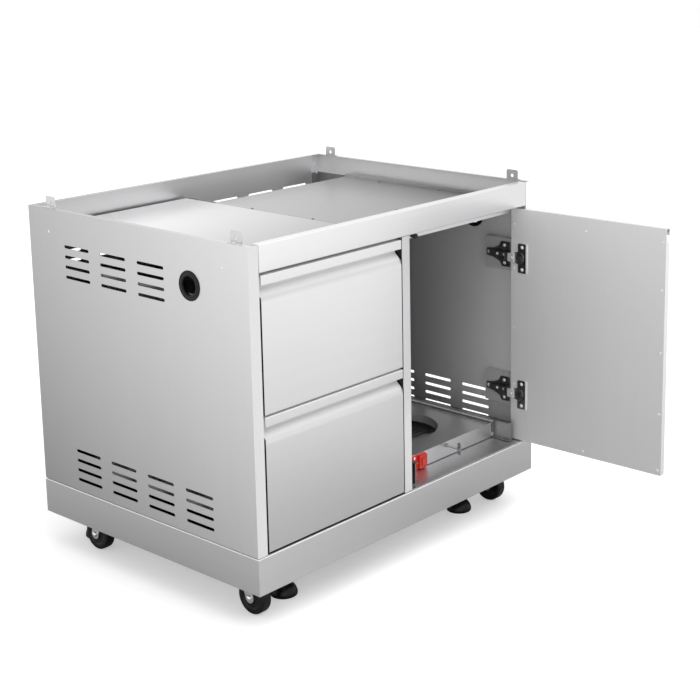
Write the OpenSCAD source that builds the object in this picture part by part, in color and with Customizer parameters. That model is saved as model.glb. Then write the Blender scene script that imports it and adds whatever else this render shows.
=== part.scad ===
// Grill cabinet on casters: two drawers on the left, a tank bay with a hinged door on the right.
// Millimetres. X right, Y back, Z up. The floor is Z = 0.

/* [Cabinet] */
// Width over the side panels
body_w = 915; // [700:5:1200]
// Depth, front face to back panel
body_d = 705; // [600:5:900]
// Height of the rim above the underside of the base
body_h = 718; // [600:2:900]
// Height of the base skirt
base_h = 81.5; // [60:0.5:120]
// Floor to the underside of the base
floor_gap = 81; // [70:1:110]
// Sheet thickness
sheet = 1.2; // [0.8:0.1:2]
// Width of the side flanges beside the openings
side_flange = 25.4; // [20:0.2:40]
// Width of the rim folded inwards at the top of the sides and back
rim_flange = 12; // [6:1:25]
// Width of the centre post
post_w = 24; // [18:1:40]
// Depth of the centre post's folded sides
post_d = 30; // [15:1:40]
// Height of the apron above the openings
apron_h = 56; // [30:1:90]
// Top of the deck sheets below the rim
deck_drop = 50; // [30:1:80]

/* [Openings] */
// Gap around the door and drawer fronts
gap = 2; // [1:0.1:4]
// Underside of the door and lower drawer above the base underside
front_z = 85; // [84:0.5:100]
// Gap between the two drawer fronts
drawer_gap = 4; // [2:0.5:8]
// Gap under the apron
apron_gap = 5.5; // [3:0.5:10]

/* [Fronts] */
// Depth of a drawer front
front_t = 21.2; // [16:0.1:30]
// Height of a drawer's handle strip
strip_h = 19.5; // [14:0.5:30]
// Lowest edge of the finger recess below the top of the front
recess_low = 44.5; // [36:0.5:70]
// Highest edge of the recess slope below the top of the front
recess_high = 30; // [24:0.5:34]
// Thickness of the door
door_t = 15; // [12:0.5:22]
// Height of a drawer's box
box_h = 190; // [120:5:200]
// Back of a drawer's box behind the front face
box_back = 540; // [500:5:580]
// Height of the door's handle strip
door_strip = 16.5; // [12:0.5:24]
// Door's pivot from the hinge edge of the closed door
pivot_in = 14.5; // [14:0.1:16]
// Door's pivot behind the front face
pivot_back = 15.7; // [15.5:0.1:16]
// Thickness of a hinge's arm beside its bracket
arm_t = 2; // [1.5:0.1:3]
// Door's opening angle at rest
door_angle = 91.2; // [85:0.1:95]

/* [Vents and grommets] */
// Length of a vent slot
slot_l = 84; // [60:1:110]
// Height of a vent slot
slot_h = 7; // [4:0.5:10]
// Spacing of the slot rows
slot_row = 22.5; // [16:0.5:30]
// Spacing of the slot columns
slot_col = 122; // [100:1:140]
// Radius of the grommet's hole in the side panel
grommet_hole_r = 27; // [20:0.5:32]
// Radius of the opening through the grommet
grommet_r = 19.5; // [12:0.5:24]
// Grommet centre behind the front face
grommet_y = 174.6; // [120:1:220]
// Grommet centre below the rim
grommet_drop = 102; // [90:1:140]

/* [Tank tray] */
// Width of the tray
tray_w = 333; // [300:1:340]
// Depth of the tray
tray_d = 336; // [300:1:360]
// Height of the tray's sides
tray_h = 36; // [24:1:44]
// Radius of the tank opening
tank_r = 106.8; // [95:0.2:115]
// Depth of the collar folded down around the tank opening
collar_h = 20; // [8:1:30]
// Front of the tray behind the front face, pushed in
tray_y = 72; // [70:1:90]
// Left side of the tray from the cabinet's middle
tray_in = 57.5; // [55:0.5:62]
// Red clip from the tray's left side
clip_x = 38; // [20:1:60]
// Wing bolt from the tray's left side
bolt_x = 158; // [120:1:200]
// Wing bolt below the tray's top
bolt_drop = 7; // [6.5:0.5:10]
// Radius of the wing bolt's shank
bolt_r = 3; // [2.5:0.1:4]

/* [Slides] */
// Space a slide fills beside a drawer or the tray
slide_w = 12.7; // [12:0.1:14]
// Height of a slide
slide_h = 45.4; // [40:0.2:50]
// Clearance between the members of a slide
slide_gap = 0.45; // [0.35:0.05:0.8]
// Length of a drawer slide
slide_l = 500; // [400:10:550]
// Length of the moving members of the tray slide
tray_slide_l = 400; // [350:10:420]

/* [Casters and feet] */
// Radius of a caster wheel
wheel_r = 38; // [30:1:40]
// Width of a caster wheel
wheel_w = 26; // [20:1:30]
// Caster wheel above the floor while the feet carry the cabinet
wheel_lift = 1; // [0.5:0.1:3]
// Swivel axis to the wheel's axle
trail = 24; // [18:1:30]
// Radius of the wheel's axle
axle_r = 5; // [4:0.5:6]
// Radial clearance of wheel on axle and fork on kingpin
run_gap = 0.05; // [0.02:0.01:0.1]
// Radius of a foot's rubber pad
foot_r = 30; // [20:1:32]
// Height of a foot's rubber pad
foot_h = 34.5; // [20:0.5:40]
// Width of the rails that carry the casters and feet
rail_w = 190; // [184:1:210]

/* [Fasteners] */
// Radius of a rivet head
rivet_r = 3; // [2:0.1:5]
// Height of a rivet head
rivet_h = 1; // [0.5:0.1:2]
// Node to build, or all of them

/* [Hidden] */
$fn = 64;
eps = 0.01;
post_x = body_w / 2 - post_w / 2;
open_top = body_h - apron_h;
front_top = open_top - apron_gap;
drawer_w = post_x - side_flange - 2 * gap;
drawer_h = (front_top - front_z - drawer_gap) / 2;
drawer_x = side_flange + gap;
door_x = post_x + post_w + gap;
door_w = body_w - side_flange - gap - door_x;
door_h = front_top - front_z;
floor_z = base_h + sheet;
deck_z = body_h - deck_drop;
wall_x = body_w / 2 - sheet / 2;
pivot_x = door_x + door_w - pivot_in;
reach = (door_w - pivot_in) * sin(door_angle) + (pivot_back - door_t) * cos(door_angle);
y_mid = (body_d + pivot_back - reach) / 2;
hinge_z = [front_z + 115, front_top - 119.5];
bracket_x = body_w - 23.6;
left_back = body_d - 15;
right_back = body_d - 113;
box_x = drawer_x + 14.6;
box_w = drawer_w - 2 * 14.6;
tray_x = body_w / 2 + tray_in;
tray_top = floor_z + 37.8;
tray_end = tray_x + tray_w;
tray_slide_z = floor_z + 24.3;
rail_z = 20.5;
caster_x = 60;
caster_y = [104, body_d - 137];
wheel_z = wheel_r + wheel_lift - floor_gap;
foot_back = body_d - 49;
foot_at = [[160, 98], [body_w - 160, 98], [102, foot_back], [body_w - 102, foot_back]];
skirt_lip = 25;
deck_end = body_w - sheet - 11.6;

// Helpers
module at_row() {
  translate([-body_w / 2, -y_mid, floor_gap]) children();
}

module opened() {
  translate([pivot_x, pivot_back, 0])
    rotate([0, 0, door_angle])
      translate([-pivot_x, -pivot_back, 0]) children();
}

module along_x(x, l) {
  translate([x, 0, 0]) rotate([90, 0, 90]) linear_extrude(l) children();
}

module both_sides() {
  children();
  translate([body_w, 0, 0]) mirror([1, 0, 0]) children();
}

module slot(l, h) {
  translate([h / 2, 0]) circle(h / 2);
  translate([l - h / 2, 0]) circle(h / 2);
  translate([h / 2, -h / 2]) square([l - h, h]);
}

module slots(columns, rows) {
  for (i = [0 : columns - 1])
    for (j = [0 : rows - 1])
      translate([-i * slot_col - slot_l, -j * slot_row]) slot(slot_l, slot_h);
}

module dome(r, h) {
  intersection() {
    translate([0, 0, h - (r * r + h * h) / (2 * h)]) sphere((r * r + h * h) / (2 * h));
    cylinder(h = 2 * h, r = 2 * r);
  }
}

module screw(r) {
  difference() {
    dome(r, r * 0.45);
    for (a = [0, 90])
      rotate([0, 0, a]) translate([-r * 0.6, -r * 0.12, r * 0.2]) cube([r * 1.2, r * 0.24, r]);
  }
}

// Body sheets
module side_sheet() {
  difference() {
    union() {
      translate([0, 0, base_h]) cube([sheet, body_d, body_h - base_h]);
      translate([0, 0, base_h]) cube([side_flange, sheet, body_h - base_h]);
      translate([0, body_d - 2 * sheet, base_h]) cube([side_flange, sheet, body_h - base_h - sheet]);
      translate([0, 0, body_h - sheet]) cube([rim_flange, body_d - sheet, sheet]);
    }
    translate([0, body_d - 124, body_h - 77.5]) along_x(-1, 4) slots(3, 4);
    translate([0, body_d - 125.5, base_h + 94.2]) along_x(-1, 4) slots(4, 4);
    translate([-1, grommet_y, body_h - grommet_drop]) rotate([0, 90, 0]) cylinder(h = 4, r = grommet_hole_r);
  }
}

module left_side_panel() {
  color("#c9cacb") at_row() side_sheet();
}

module right_side_panel() {
  color("#b9babb") at_row() translate([body_w, 0, 0]) mirror([1, 0, 0]) side_sheet();
}

module back_panel() {
  color("#c2c3c4") at_row() difference() {
    union() {
      translate([sheet, body_d - sheet, base_h]) cube([body_w - 2 * sheet, sheet, body_h - base_h]);
      translate([rim_flange, body_d - 2 * sheet - rim_flange, body_h - sheet])
        cube([body_w - 2 * rim_flange, rim_flange + 2 * sheet, sheet]);
    }
    translate([body_w - 49.5, body_d + 1, body_h - 77.5])
      rotate([90, 0, 0]) linear_extrude(4) slots(7, 4);
  }
}

module front_apron() {
  color("#cfd0d1") at_row() along_x(side_flange, body_w - 2 * side_flange)
    polygon([
      [0, open_top], [16, open_top], [16, open_top + sheet], [sheet, open_top + sheet],
      [sheet, body_h - sheet], [20, body_h - sheet], [20, body_h], [0, body_h]
    ]);
}

module centre_post() {
  color("#c4c5c6") at_row() {
    translate([post_x, 0, floor_z]) cube([post_w, sheet, open_top - floor_z]);
    for (x = [post_x, post_x + post_w - sheet])
      translate([x, sheet - eps, floor_z]) cube([sheet, post_d, open_top - floor_z]);
  }
}

module partition_panel() {
  color("#a5a6a8") at_row() difference() {
    translate([wall_x, sheet, floor_z])
      cube([sheet, body_d - 3 * sheet, deck_z - sheet - floor_z]);
    translate([wall_x - 1, 0, open_top - 1]) cube([4, 16 + 0.3, apron_h]);
  }
}

module floor_panel() {
  color("#a9aaac") at_row() difference() {
    translate([sheet, sheet, base_h])
      cube([body_w - 2 * sheet, body_d - 3 * sheet, sheet]);
    for (i = [0, 1], j = [0 : 4])
      translate([body_w - 133 - slot_l - i * slot_col, 221 + 15 * j, base_h - 1])
        linear_extrude(4) slot(slot_l, slot_h);
  }
}

module base_skirt() {
  color("#b0b1b3") at_row() difference() {
    cube([body_w, body_d, base_h]);
    translate([sheet, sheet, sheet])
      cube([body_w - 2 * sheet, body_d - 2 * sheet, base_h - 2 * sheet]);
    translate([skirt_lip, skirt_lip, base_h / 2])
      cube([body_w - 2 * skirt_lip, body_d - 2 * skirt_lip, base_h]);
    translate([12, 12, -1]) cube([body_w - 24, body_d - 24, base_h / 2]);
  }
}

module deck_sheet(x0, x1, back) {
  translate([x0, sheet, deck_z - sheet]) cube([x1 - x0, back - sheet, sheet]);
  left = max(x0, side_flange);
  right = min(x1, body_w - side_flange);
  translate([left, sheet, open_top + sheet])
    cube([right - left, sheet, deck_z - open_top - 2 * sheet + eps]);
}

module left_deck() {
  color("#d2d3d4") at_row() deck_sheet(sheet + 0.5, wall_x - 11.5, left_back);
}

module right_deck() {
  color("#d2d3d4") at_row() {
    deck_sheet(wall_x - 11, deck_end, right_back);
    translate([deck_end - sheet, 20, deck_z - eps]) cube([sheet, right_back - 20, 9]);
    translate([wall_x + 4, right_back - eps, deck_z - 10]) cube([deck_end - wall_x - 4, sheet, 10]);
  }
}

module door_header() {
  color("#8f9092") at_row() along_x(wall_x + sheet, body_w - 30 - wall_x - sheet)
    polygon([
      [45, deck_z - 28], [62, deck_z - 28], [62, deck_z - 28 + sheet], [45 + sheet, deck_z - 28 + sheet],
      [45 + sheet, deck_z - 2 * sheet], [62, deck_z - 2 * sheet], [62, deck_z - sheet], [45, deck_z - sheet]
    ]);
}

module magnet_catch() {
  color("#202022") at_row() {
    translate([door_x + 57.5, 24, deck_z - 31]) cube([17, 21, 15]);
    translate([door_x + 60.5, door_t + 0.6, deck_z - 28]) cube([11, 8.4 + eps, 9]);
  }
}

module tab(y, left) {
  x = left ? 15 : body_w - 15;
  s = left ? 1 : -1;
  difference() {
    translate([x - 0.75, y - 16.5, body_h]) cube([1.5, 33, 24]);
    translate([x - 2, y, body_h + 10]) rotate([0, 90, 0]) cylinder(h = 4, r = 4);
  }
  translate([left ? 3 : body_w - 15.75 + eps, y - 16.5, body_h]) cube([12.75 - eps, 33, 1.5]);
}

module mounting_tabs() {
  color("#bcbdbf") at_row() for (y = [48, body_d - 62], left = [true, false]) tab(y, left);
}

module grommet() {
  difference() {
    union() {
      cylinder(h = 2.5, r = 31.4);
      translate([0, 0, -sheet - 4]) cylinder(h = 6, r = grommet_hole_r - 0.3);
      translate([0, 0, -sheet - 4]) cylinder(h = 4, r = grommet_hole_r + 2.5);
    }
    translate([0, 0, -9]) cylinder(h = 20, r = grommet_r);
  }
}

module left_grommet() {
  color("#18181a") at_row()
    translate([0, grommet_y, body_h - grommet_drop]) rotate([0, -90, 0]) grommet();
}

module right_grommet() {
  color("#18181a") at_row() translate([body_w, 0, 0]) mirror([1, 0, 0])
    translate([0, grommet_y, body_h - grommet_drop]) rotate([0, -90, 0]) grommet();
}

module panel_rivets() {
  color("#9fa0a2") at_row() {
    both_sides() for (y = [76, body_d - 70])
      translate([0, y, deck_z - 1]) rotate([0, -90, 0]) dome(rivet_r, rivet_h);
    both_sides() for (p = [[16, body_h - 26], [8, body_h - 52]])
      translate([p[0], body_d - 2 * sheet, p[1]]) rotate([90, 0, 0]) dome(rivet_r, rivet_h);
  }
}

module deck_screws() {
  color("#8b8c8e") at_row() {
    for (x = [wall_x - 8, deck_end - 9], y = [268, 466]) translate([x, y, deck_z]) screw(4);
    translate([body_w / 2 + 186, 188, deck_z]) screw(4);
  }
}

// Slides
module slide_outer(l) {
  difference() {
    translate([0, 0, -slide_h / 2]) cube([11, l, slide_h]);
    translate([sheet, -1, -slide_h / 2 + sheet]) cube([11, l + 2, slide_h - 2 * sheet]);
  }
}

module slide_mid(l) {
  h = slide_h - 2 * (sheet + slide_gap);
  difference() {
    translate([2, 0, -h / 2]) cube([8, l, h]);
    translate([2 + sheet, -1, -h / 2 + sheet]) cube([8, l + 2, h - 2 * sheet]);
    for (y = [60 : 80 : l - 60])
      translate([1, y, 0]) rotate([0, 90, 0]) cylinder(h = 4, r = 4);
  }
}

module slide_inner(l) {
  h = slide_h - 4 * (sheet + slide_gap);
  difference() {
    translate([4, 0, -h / 2]) cube([slide_w - 4, l, h]);
    translate([3, -1, -h / 2 + sheet]) cube([slide_w - 3 - sheet, l + 2, h - 2 * sheet]);
  }
}

module slide_pair(x0, x1, y, z) {
  translate([x0, y, z]) children();
  translate([x1, y, z]) mirror([1, 0, 0]) children();
}

module slide_bracket(x, wall, y, l, z) {
  h = slide_h + 14;
  for (side = [0, 1])
    translate([min(x, wall), y, z - h / 2 + side * (h - sheet)]) cube([abs(wall - x), l, sheet]);
  translate([x < wall ? x : x - sheet, y, z - h / 2]) cube([sheet, l, h]);
}

// Drawers
function drawer_z(i) = front_z + i * (drawer_h + drawer_gap);
function drawer_slide_z(i) = drawer_z(i) + 110;

module drawer_brackets() {
  color("#9a9b9d") at_row() for (i = [0, 1]) {
    slide_bracket(box_x - slide_w, sheet, 36, slide_l, drawer_slide_z(i));
    slide_bracket(box_x + box_w + slide_w, wall_x, 36, slide_l, drawer_slide_z(i));
  }
}

module drawer_outer_slides() {
  color("#b5b6b8") at_row() for (i = [0, 1])
    slide_pair(box_x - slide_w, box_x + box_w + slide_w, 26, drawer_slide_z(i)) slide_outer(slide_l);
}

module drawer_mid(i) {
  color("#a8a9ab") at_row()
    slide_pair(box_x - slide_w, box_x + box_w + slide_w, 26, drawer_slide_z(i)) slide_mid(slide_l - 10);
}

module drawer_inner(i) {
  color("#b5b6b8") at_row()
    slide_pair(box_x - slide_w, box_x + box_w + slide_w, 26, drawer_slide_z(i)) slide_inner(slide_l - 10);
}

module upper_drawer_mid_slides() { drawer_mid(1); }

module lower_drawer_mid_slides() { drawer_mid(0); }

module upper_drawer_inner_slides() { drawer_inner(1); }

module lower_drawer_inner_slides() { drawer_inner(0); }

module front_section(h, t, low, high, strip) {
  polygon([
    [0, 0], [0, h - low], [t - sheet, h - high], [t - sheet, h - sheet], [sheet, h - sheet],
    [sheet, h - strip], [0, h - strip], [0, h], [t, h], [t, h - high - 0.7],
    [sheet, h - low - 0.7], [sheet, sheet], [t, sheet], [t, 0]
  ]);
}

module front_end(h, t, low, high) {
  polygon([[0, 0], [0, h - low], [t - sheet, h - high], [t - sheet, h], [t, h], [t, 0]]);
}

module drawer_front(i) {
  color("#d6d7d8") at_row() translate([0, 0, drawer_z(i)]) {
    along_x(drawer_x, drawer_w) front_section(drawer_h, front_t, recess_low, recess_high, strip_h);
    for (x = [drawer_x, drawer_x + drawer_w - sheet])
      along_x(x, sheet) front_end(drawer_h, front_t, recess_low, recess_high);
  }
}

module upper_drawer_front() { drawer_front(1); }

module lower_drawer_front() { drawer_front(0); }

module drawer_box(i) {
  color("#b0b1b3") at_row() {
    difference() {
      translate([box_x, front_t, drawer_z(i) + 22]) cube([box_w, box_back - front_t, box_h]);
      translate([box_x + sheet, front_t + sheet, drawer_z(i) + 22 + sheet])
        cube([box_w - 2 * sheet, box_back - front_t - 2 * sheet, box_h]);
    }
    translate([drawer_x, front_t, drawer_z(i)]) cube([drawer_w, sheet, drawer_h]);
  }
}

module upper_drawer_box() { drawer_box(1); }

module lower_drawer_box() { drawer_box(0); }

// Door, drawn closed and then turned to its rest angle
hinge_edge = door_x + door_w;
cup_s = 33.5;
cup_r = 13.5;
pin_r = 1.5;
arm_h = 18;

module on_inner_skin(s, z, lift) {
  translate([hinge_edge - s, door_t + lift, z]) rotate([-90, 0, 0]) children();
}

module door_outer_skin() {
  color("#d3d4d5") at_row() opened() translate([0, 0, front_z]) {
    along_x(door_x, door_w)
      front_section(door_h, door_t - sheet, door_strip + 21, door_strip + 7, door_strip);
    for (x = [door_x, hinge_edge - sheet])
      along_x(x, sheet) front_end(door_h, door_t - sheet, door_strip + 21, door_strip + 7);
  }
}

module door_inner_skin() {
  color("#bfc0c2") at_row() opened() difference() {
    translate([door_x, door_t - sheet, front_z]) cube([door_w, sheet, door_h]);
    for (z = hinge_z) {
      on_inner_skin(cup_s, z, -sheet - 1) cylinder(h = 4, r = cup_r + 0.3);
      translate([hinge_edge - 19.2, door_t - 4, z - 13.6]) cube([9.7, 8, 27.2]);
    }
  }
}

module hinge_cups() {
  color("#3a3a3d") at_row() opened() for (z = hinge_z) {
    difference() {
      union() {
        translate([hinge_edge - 43, door_t, z - 35.5]) cube([23.1, 1.2, 71]);
        on_inner_skin(cup_s, z, -9.4) cylinder(h = 10, r = cup_r);
      }
      on_inner_skin(cup_s, z, -8.4) cylinder(h = 12, r = cup_r - 1);
    }
    for (side = [-1, 1]) {
      translate([hinge_edge - 22, door_t, z + side * 11 - 1.3]) cube([8, 1.2, 2.6]);
      translate([pivot_x, pivot_back, z + side * 11 - 1.5]) cylinder(h = 3, r = 3);
      on_inner_skin(32, z + side * 27, 1.2) screw(4);
    }
    translate([pivot_x, pivot_back, z - 13.2]) cylinder(h = 26.4, r = pin_r);
  }
}

module door_rivets() {
  color("#8f9092") at_row() opened() {
    for (z = [hinge_z[0] + 23, (hinge_z[0] + hinge_z[1]) / 2 - 2.5, hinge_z[1] - 26, front_top - 38.5])
      on_inner_skin(8, z, 0) dome(rivet_r, rivet_h);
    for (z = [front_z + 12, hinge_z[0] + 30, (hinge_z[0] + hinge_z[1]) / 2 + 4.5, hinge_z[1] - 20, front_top - 31.5])
      on_inner_skin(door_w - 8, z, 0) dome(rivet_r, rivet_h);
    for (z = [front_z + 12, front_top - 31.5]) on_inner_skin(door_w / 2, z, 0) dome(rivet_r, rivet_h);
  }
}

module hinge_brackets() {
  color("#9d9ea0") at_row() for (z = hinge_z) {
    translate([bracket_x, 42, z - 38]) cube([sheet, 80, 76]);
    for (side = [-1, 1])
      translate([bracket_x, 42, z + side * 38 - (side > 0 ? sheet : 0)])
        cube([body_w - sheet - bracket_x, 80, sheet]);
  }
}

module hinge_arms() {
  arm_x = bracket_x - arm_t;
  color("#77787b") at_row() for (z = hinge_z) {
    translate([arm_x, 46, z - 11]) cube([arm_t, 70, 22]);
    translate([arm_x, 60, z - 30.5]) cube([arm_t, 18, 61]);
    translate([0, 0, z - arm_h / 2]) difference() {
      linear_extrude(arm_h) {
        translate([pivot_x, pivot_back]) circle(3);
        polygon([
          [pivot_x - 2.9, pivot_back], [pivot_x - 4.2, 19], [pivot_x - 4.2, 47],
          [arm_x - 11.4, 60], [arm_x - 9.4, 96], [arm_x + eps, 96], [arm_x + eps, 46], [pivot_x + 7, 43],
          [pivot_x - 0.2, 37], [pivot_x - 0.2, pivot_back]
        ]);
      }
      translate([pivot_x, pivot_back, -1]) cylinder(h = arm_h + 2, r = pin_r + run_gap);
    }
    for (p = [[69, 21], [69, -21], [106, 0]])
      translate([arm_x, p[0], z + p[1]]) rotate([0, -90, 0]) screw(4);
  }
}

// Tank tray
module tray_pan() {
  color("#c6c7c9") at_row() translate([tray_x, tray_y, 0]) difference() {
    union() {
      difference() {
        translate([0, 0, tray_top - tray_h]) cube([tray_w, tray_d, tray_h]);
        translate([sheet, sheet, tray_top - tray_h - 1])
          cube([tray_w - 2 * sheet, tray_d - 2 * sheet, tray_h + 1 - sheet]);
      }
      translate([tray_w / 2, tray_d / 2, tray_top - collar_h]) cylinder(h = collar_h, r = tank_r + sheet, $fn = 96);
    }
    translate([tray_w / 2, tray_d / 2, 0]) cylinder(h = 300, r = tank_r, $fn = 96);
    translate([bolt_x, -1, tray_top - bolt_drop]) rotate([-90, 0, 0]) cylinder(h = 6, r = bolt_r + run_gap);
  }
}

module tray_slides_at(y) {
  translate([0, y, tray_slide_z]) {
    translate([tray_x - slide_w, 0, 0]) children();
    translate([tray_end + slide_w, 0, 0]) mirror([1, 0, 0]) children();
  }
}

module tray_outer_slides() {
  color("#b9babc") at_row() tray_slides_at(18) slide_outer(462);
}

module tray_mid_slides() {
  color("#a8a9ab") at_row() tray_slides_at(tray_y) slide_mid(tray_slide_l);
}

module tray_inner_slides() {
  color("#b5b6b8") at_row() tray_slides_at(tray_y) slide_inner(tray_slide_l);
}

module tray_brackets() {
  color("#a4a5a7") at_row() {
    translate([tray_x - slide_w - sheet, 18, floor_z]) cube([sheet, 462, 48]);
    translate([tray_x - slide_w - 30, 18, floor_z]) cube([30 - sheet + eps, 462, sheet]);
    translate([tray_end + slide_w, 18, floor_z]) cube([sheet, 462, 48]);
    translate([tray_end + slide_w + sheet - eps, 18, floor_z]) cube([28, 462, sheet]);
  }
}

module red_clip() {
  color("#c8281e") at_row() translate([tray_x + clip_x, tray_y, tray_top - 36]) difference() {
    union() {
      translate([0, -2, 0]) cube([46, 2, 34]);
      translate([18, -9, 1]) cube([26, 7 + eps, 32]);
      translate([24, -12, 8]) cube([14, 3 + eps, 18]);
    }
    for (z = [6, 28])
      translate([8, -4, z]) rotate([-90, 0, 0]) cylinder(h = 8, r = 1.6);
  }
}

module clip_rivets() {
  color("#d8d8da") at_row() for (z = [6, 28])
    translate([tray_x + clip_x + 8, tray_y, tray_top - 36 + z]) rotate([90, 0, 0]) {
      cylinder(h = 2.5, r = 1.5);
      translate([0, 0, 2]) dome(3.2, 1.5);
    }
}

module wing_bolt() {
  color("#c9cacc") at_row() translate([tray_x + bolt_x, tray_y, tray_top - bolt_drop]) rotate([90, 0, 0]) {
    translate([0, 0, -12]) cylinder(h = 54, r = bolt_r);
    translate([0, 0, 0.3]) cylinder(h = 6, r = 5);
    translate([0, 0, 38]) cylinder(h = 9, r = 5);
    for (side = [-1, 1])
      translate([side * 7, 0, 42.5]) rotate([90, 0, 0]) translate([0, 0, -1.2]) cylinder(h = 2.4, r = 6);
  }
}

// Casters and levelling feet
module base_rails() {
  color("#98999b") at_row() both_sides() {
    difference() {
      translate([sheet, sheet, rail_z]) cube([rail_w, body_d - 2 * sheet, 2]);
      for (y = caster_y) translate([caster_x, y, 0]) cylinder(h = 60, r = 4.05);
      for (p = [foot_at[0], foot_at[2]]) translate([p[0], p[1], 0]) cylinder(h = 60, r = 5);
    }
    translate([sheet + rail_w - 2, sheet, rail_z]) cube([2, body_d - 2 * sheet, base_h - sheet - rail_z]);
  }
}

module levelling_feet() {
  color("#1b1b1d") at_row() for (p = foot_at)
    translate([p[0], p[1], -floor_gap]) {
      cylinder(h = foot_h - 25, r = foot_r);
      translate([0, 0, foot_h - 25]) cylinder(h = 12, r1 = foot_r, r2 = foot_r - 5);
      translate([0, 0, foot_h - 13]) cylinder(h = 9, r1 = foot_r - 5, r2 = foot_r - 14);
      translate([0, 0, foot_h - 4]) cylinder(h = 4, r1 = foot_r - 14, r2 = 9);
    }
}

module foot_stems() {
  color("#8a8b8d") at_row() for (p = foot_at)
    translate([p[0], p[1], 0]) {
      translate([0, 0, foot_h - floor_gap]) cylinder(h = floor_gap - foot_h + rail_z + 24, r = 5 - 0.02);
      translate([0, 0, rail_z - 8]) cylinder(h = 8, r = 9.2, $fn = 6);
      translate([0, 0, rail_z + 2]) cylinder(h = 8, r = 9.2, $fn = 6);
    }
}

module caster_plates() {
  color("#8f9092") at_row() for (x = [caster_x, body_w - caster_x], y = caster_y)
    translate([x, y, 0]) {
      translate([-32, -32, rail_z - 2.5]) cube([64, 64, 2.5]);
      translate([0, 0, rail_z - 5]) cylinder(h = 2.6, r = 20);
      translate([0, 0, rail_z - 14]) cylinder(h = 24, r = 4);
      translate([0, 0, rail_z - 14]) cylinder(h = 3.5, r = 8);
      for (a = [-24, 24], b = [-24, 24]) translate([a, b, rail_z + 2]) screw(4.5);
    }
}

// dir is -1 where the wheel trails to the front and 1 where it trails to the back
module caster_fork(x, y, dir) {
  leg = wheel_w / 2 + 2;
  color("#6f7073") at_row() translate([x, y, 0]) {
    difference() {
      translate([0, 0, rail_z - 10]) cylinder(h = 4.6, r = 22);
      translate([0, 0, rail_z - 20]) cylinder(h = 20, r = 4 + run_gap);
    }
    for (side = [-1, 1])
      translate([side * leg - 1.2, 0, 0]) difference() {
        along_x(0, 2.4) union() {
          translate([dir * trail, wheel_z]) circle(9);
          polygon([
            [-15 * dir, rail_z - 5.4], [17 * dir, rail_z - 5.4],
            [(trail + 8.9) * dir, wheel_z], [(trail - 8.9) * dir, wheel_z - 2]
          ]);
        }
        translate([-1, dir * trail, wheel_z]) rotate([0, 90, 0]) cylinder(h = 6, r = axle_r);
      }
  }
}

module caster_axle(x, y, dir) {
  leg = wheel_w / 2 + 3.2;
  color("#b7b8ba") at_row() translate([x, y + dir * trail, wheel_z]) rotate([0, 90, 0]) {
    translate([0, 0, -leg - 2]) cylinder(h = 2 * leg + 4, r = axle_r - eps);
    translate([0, 0, -leg - 4]) cylinder(h = 4, r = axle_r + 3);
    translate([0, 0, leg]) cylinder(h = 4.5, r = axle_r + 3.5, $fn = 6);
  }
}

module caster_wheel(x, y, dir) {
  w = wheel_w / 2;
  color("#141416") at_row() translate([x, y + dir * trail, wheel_z]) rotate([0, 90, 0])
    rotate_extrude($fn = 96)
      polygon([
        [axle_r + run_gap, -w], [13, -w], [15, -w + 3], [25, -w + 3], [28, -w + 0.5],
        [34, -w + 2], [wheel_r - 1, -w + 5], [wheel_r, -w + 9], [wheel_r, w - 9], [wheel_r - 1, w - 5],
        [34, w - 2], [28, w - 0.5], [25, w - 3], [15, w - 3], [13, w], [axle_r + run_gap, w]
      ]);
}

module front_left_fork() { caster_fork(caster_x, caster_y[0], -1); }
module front_right_fork() { caster_fork(body_w - caster_x, caster_y[0], -1); }
module rear_left_fork() { caster_fork(caster_x, caster_y[1], 1); }
module rear_right_fork() { caster_fork(body_w - caster_x, caster_y[1], 1); }
module front_left_axle() { caster_axle(caster_x, caster_y[0], -1); }
module front_right_axle() { caster_axle(body_w - caster_x, caster_y[0], -1); }
module rear_left_axle() { caster_axle(caster_x, caster_y[1], 1); }
module rear_right_axle() { caster_axle(body_w - caster_x, caster_y[1], 1); }
module front_left_wheel() { caster_wheel(caster_x, caster_y[0], -1); }
module front_right_wheel() { caster_wheel(body_w - caster_x, caster_y[0], -1); }
module rear_left_wheel() { caster_wheel(caster_x, caster_y[1], 1); }
module rear_right_wheel() { caster_wheel(body_w - caster_x, caster_y[1], 1); }

left_side_panel();
right_side_panel();
back_panel();
front_apron();
door_header();
centre_post();
partition_panel();
base_skirt();
floor_panel();
base_rails();
left_deck();
right_deck();
mounting_tabs();
left_grommet();
right_grommet();
magnet_catch();
panel_rivets();
deck_screws();
tray_brackets();
drawer_brackets();
drawer_outer_slides();
tray_outer_slides();
hinge_brackets();
hinge_arms();
levelling_feet();
foot_stems();
caster_plates();
upper_drawer_front();
upper_drawer_box();
upper_drawer_inner_slides();
upper_drawer_mid_slides();
lower_drawer_front();
lower_drawer_box();
lower_drawer_inner_slides();
lower_drawer_mid_slides();
door_outer_skin();
door_inner_skin();
door_rivets();
hinge_cups();
tray_pan();
tray_inner_slides();
tray_mid_slides();
red_clip();
clip_rivets();
wing_bolt();
front_left_fork();
front_left_axle();
front_left_wheel();
front_right_fork();
front_right_axle();
front_right_wheel();
rear_left_fork();
rear_left_axle();
rear_left_wheel();
rear_right_fork();
rear_right_axle();
rear_right_wheel();
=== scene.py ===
# %% [markdown]
# A grill cabinet, dressed for a picture.
# The cabinet is folded from thin brushed stainless sheet. Its true shapes come from the packed
# CAD model, which is loaded as a fixed frame. This script gives every sheet, slide, wheel and
# foot its finish, and adds the small forms that a plain solid leaves out.

# %% Load the frame
from math import cos, pi, radians, sin

import bmesh
import bpy
import numpy as np
from mathutils import Matrix, Vector


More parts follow.
